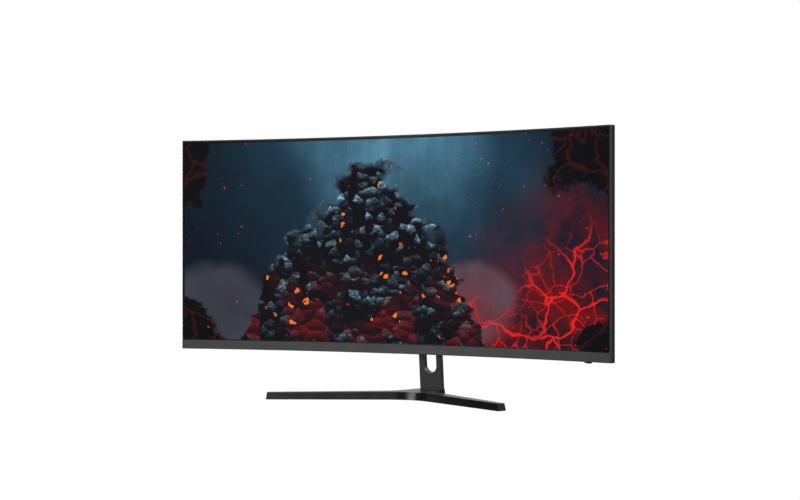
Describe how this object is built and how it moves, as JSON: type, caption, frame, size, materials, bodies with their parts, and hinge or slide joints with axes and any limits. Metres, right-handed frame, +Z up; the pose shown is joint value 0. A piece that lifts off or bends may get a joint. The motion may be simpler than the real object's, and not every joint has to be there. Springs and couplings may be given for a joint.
{
  "type": "computer monitor",
  "caption": "Curved ultrawide desktop monitor with slim borders, tilting head, slotted column, V-shaped base and a rocking joystick key.",
  "frame": {"origin": "on the desk under the middle of the base's depth and width", "axes": "+X to the viewer's right, +Y away from the viewer, +Z up"},
  "size_m": [0.8014, 0.198, 0.4364],
  "materials": {
    "base_casting": "satin black powder coat",
    "base_feet": "matt",
    "base_screws": "zinc plated",
    "column_foot": "satin black powder coat",
    "column_core": "bare steel plate",
    "column_front_shell": "fine texture",
    "column_rear_shell": "fine texture",
    "column_screws": "black oxide",
    "column_top_cap": "fine texture",
    "hinge_block": "die cast",
    "hinge_block_screws": "zinc plated",
    "hinge_pin": "ground",
    "hinge_nuts": "zinc plated",
    "spring_washers": "spring steel",
    "friction_discs": "oiled",
    "tilt_bracket": "zinc phosphate",
    "bracket_screws": "zinc plated",
    "bracket_shroud": "fine texture",
    "vesa_plate": "zinc plated",
    "vesa_posts": "zinc plated",
    "rear_cover": "fine spark texture",
    "rear_cover_screws": "black zinc",
    "chassis_posts": "zinc plated",
    "middle_frame": "satin",
    "chin_strip": "fine satin",
    "lcd_glass": "black border, anti-glare",
    "front_polariser": "anti-glare film, lit picture",
    "panel_frame": "matt",
    "prism_film": "micro-prism film",
    "diffuser_film": "matt film",
    "light_guide": "clear acrylic",
    "reflector_film": "white film",
    "led_bar": "white solder mask",
    "panel_chassis": "galvanised sheet",
    "source_boards": "green solder mask",
    "source_flexes": "polyimide",
    "tcon_board": "green solder mask",
    "display_cable": "flat cable",
    "board_tray": "galvanised sheet",
    "board_standoffs": "turned",
    "main_board": "green solder mask",
    "main_board_chips": "epoxy",
    "heat_sink": "extruded",
    "power_board": "phenolic board",
    "power_parts": "sleeved capacitors",
    "board_screws": "nickel plated",
    "hdmi_sockets": "nickel plated shell",
    "displayport_sockets": "nickel plated shell",
    "audio_jack": "moulded",
    "dc_inlet": "moulded",
    "io_plate": "bright sheet",
    "lock_plate": "zinc plated",
    "key_board": "green solder mask",
    "joystick_housing": "moulded",
    "led_lens": "clear light pipe, lit blue",
    "joystick_gimbal": "acetal",
    "joystick_cradle": "acetal",
    "joystick_stem": "acetal",
    "joystick_knob": "soft-touch"
  },
  "bodies": {
    "stand": {"base_casting": "base_casting", "base_feet": "base_feet", "base_screws": "base_screws", "column_foot": "column_foot", "column_core": "column_core", "column_front_shell": "column_front_shell", "column_rear_shell": "column_rear_shell", "column_screws": "column_screws", "column_top_cap": "column_top_cap", "hinge_block": "hinge_block", "hinge_block_screws": "hinge_block_screws", "hinge_pin": "hinge_pin", "hinge_nuts": "hinge_nuts", "spring_washers": "spring_washers", "friction_discs": "friction_discs"},
    "head": {"tilt_bracket": "tilt_bracket", "bracket_screws": "bracket_screws", "bracket_shroud": "bracket_shroud", "vesa_plate": "vesa_plate", "vesa_posts": "vesa_posts", "rear_cover": "rear_cover", "rear_cover_screws": "rear_cover_screws", "chassis_posts": "chassis_posts", "middle_frame": "middle_frame", "chin_strip": "chin_strip", "lcd_glass": "lcd_glass", "front_polariser": "front_polariser", "panel_frame": "panel_frame", "prism_film": "prism_film", "diffuser_film": "diffuser_film", "light_guide": "light_guide", "reflector_film": "reflector_film", "led_bar": "led_bar", "panel_chassis": "panel_chassis", "source_boards": "source_boards", "source_flexes": "source_flexes", "tcon_board": "tcon_board", "display_cable": "display_cable", "board_tray": "board_tray", "board_standoffs": "board_standoffs", "main_board": "main_board", "main_board_chips": "main_board_chips", "heat_sink": "heat_sink", "power_board": "power_board", "power_parts": "power_parts", "board_screws": "board_screws", "hdmi_sockets": "hdmi_sockets", "displayport_sockets": "displayport_sockets", "audio_jack": "audio_jack", "dc_inlet": "dc_inlet", "io_plate": "io_plate", "lock_plate": "lock_plate", "key_board": "key_board", "joystick_housing": "joystick_housing", "led_lens": "led_lens"},
    "joystick_ring": {"joystick_gimbal": "joystick_gimbal"},
    "joystick_rocker": {"joystick_cradle": "joystick_cradle"},
    "joystick_button": {"joystick_stem": "joystick_stem", "joystick_knob": "joystick_knob"}
  },
  "joints": [
    {"name": "tilt", "type": "hinge", "parent": "stand", "child": "head", "pos_m": [0, 0.044, 0.254], "axis": [-1, 0, 0], "range_deg": [-5, 20]},
    {"name": "joystick_fore_aft", "type": "hinge", "parent": "head", "child": "joystick_ring", "pos_m": [0.35379, -0.064, 0.0864], "axis": [0.9722, -0.2341, 0], "range_deg": [-6, 6], "stiffness_Nm_per_rad": 0.05},
    {"name": "joystick_left_right", "type": "hinge", "parent": "joystick_ring", "child": "joystick_rocker", "pos_m": [0.35379, -0.064, 0.0864], "axis": [0.2341, 0.9722, 0], "range_deg": [-6, 6], "stiffness_Nm_per_rad": 0.05},
    {"name": "joystick_press", "type": "slide", "parent": "joystick_rocker", "child": "joystick_button", "axis": [0, 0, 1], "range_m": [0, 0.0006], "stiffness_N_per_m": 800, "springref_m": -0.0002}
  ]
}
